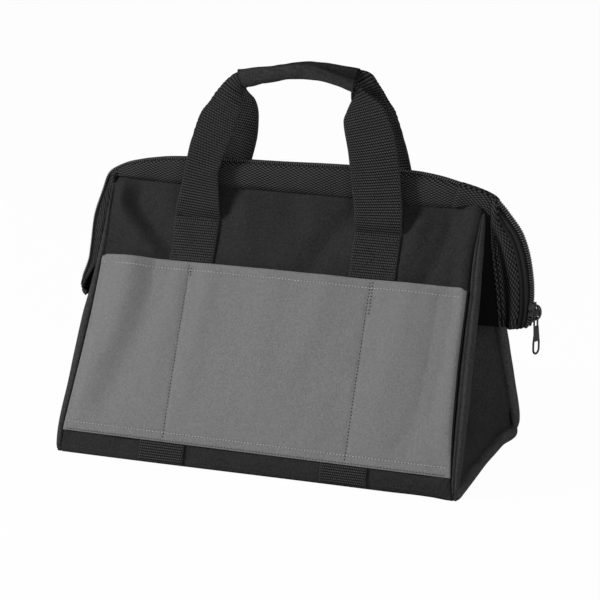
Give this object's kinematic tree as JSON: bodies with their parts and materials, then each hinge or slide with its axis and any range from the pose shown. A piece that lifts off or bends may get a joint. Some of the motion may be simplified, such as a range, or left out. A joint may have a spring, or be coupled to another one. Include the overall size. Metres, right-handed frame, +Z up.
{
  "type": "zippered tool bag",
  "caption": "Soft tool bag with leaning panels, tucked gussets, a zipped mouth with hanging ends, outside pockets and two webbing handles with sewn grips.",
  "frame": {"origin": "middle of the flat underside, on the surface the bag stands on", "axes": "+X along the bag to the end where the closed zip's slider hangs, -Y to the front, +Z up"},
  "size_m": [0.3816, 0.1834, 0.303],
  "materials": {
    "body_cloth": "fine woven black polyester",
    "pocket_cloth": "fine woven grey polyester",
    "webbing": "ribbed black webbing",
    "mesh_band": "coarse open-weave black webbing",
    "zip_tape": "smooth woven black tape",
    "zip_coil": "satin black nylon coil",
    "coated_metal": "dark satin coating",
    "base_board": "plain sheet"
  },
  "bodies": {
    "bag_base": {"base_panel": "body_cloth", "base_board": "base_board", "left_base_binding": "body_cloth", "right_base_binding": "body_cloth", "left_gusset": "body_cloth", "right_gusset": "body_cloth", "left_ear_front_band": "mesh_band", "left_ear_front_tape": "zip_tape", "left_ear_front_coil": "zip_coil", "left_ear_back_band": "mesh_band", "left_ear_back_tape": "zip_tape", "left_ear_back_coil": "zip_coil", "right_ear_front_band": "mesh_band", "right_ear_front_tape": "zip_tape", "right_ear_front_coil": "zip_coil", "right_ear_back_band": "mesh_band", "right_ear_back_tape": "zip_tape", "right_ear_back_coil": "zip_coil"},
    "front_side": {"front_panel": "body_cloth", "front_pocket_panel": "pocket_cloth", "front_left_binding": "body_cloth", "front_right_binding": "body_cloth", "front_left_webbing": "webbing", "front_right_webbing": "webbing", "front_mouth_band": "mesh_band", "front_zip_tape": "zip_tape", "front_zip_coil": "zip_coil"},
    "back_side": {"back_panel": "body_cloth", "back_pocket_panel": "pocket_cloth", "back_left_binding": "body_cloth", "back_right_binding": "body_cloth", "back_left_webbing": "webbing", "back_right_webbing": "webbing", "back_mouth_band": "mesh_band", "back_zip_tape": "zip_tape", "back_zip_coil": "zip_coil"},
    "front_handle": {"front_handle_webbing": "webbing", "front_grip_sleeve": "body_cloth"},
    "back_handle": {"back_handle_webbing": "webbing", "back_grip_sleeve": "body_cloth"},
    "zip_slider": {"zip_slider": "coated_metal"},
    "zip_pull": {"zip_pull": "coated_metal"}
  },
  "joints": [
    {"name": "front_mouth", "type": "hinge", "parent": "bag_base", "child": "front_side", "pos_m": [0, -0.091, 0], "axis": [1, 0, 0], "range_deg": [0, 22]},
    {"name": "back_mouth", "type": "hinge", "parent": "bag_base", "child": "back_side", "pos_m": [0, 0.091, 0], "axis": [-1, 0, 0], "range_deg": [0, 22]},
    {"name": "front_handle_fold", "type": "hinge", "parent": "front_side", "child": "front_handle", "pos_m": [0, -0.01634, 0.18032], "axis": [1, 0, 0], "range_deg": [0, 150]},
    {"name": "back_handle_fold", "type": "hinge", "parent": "back_side", "child": "back_handle", "pos_m": [0, 0.01634, 0.18032], "axis": [-1, 0, 0], "range_deg": [0, 150]},
    {"name": "zip_travel", "type": "hinge", "parent": "bag_base", "child": "zip_slider", "pos_m": [0.07029, 0, 0.13412], "axis": [0, 1, 0], "range_deg": [-38, 0]},
    {"name": "pull_swing", "type": "hinge", "parent": "zip_slider", "child": "zip_pull", "pos_m": [0.19675, 0, 0.1263], "axis": [0, -1, 0], "range_deg": [0, 170]}
  ]
}
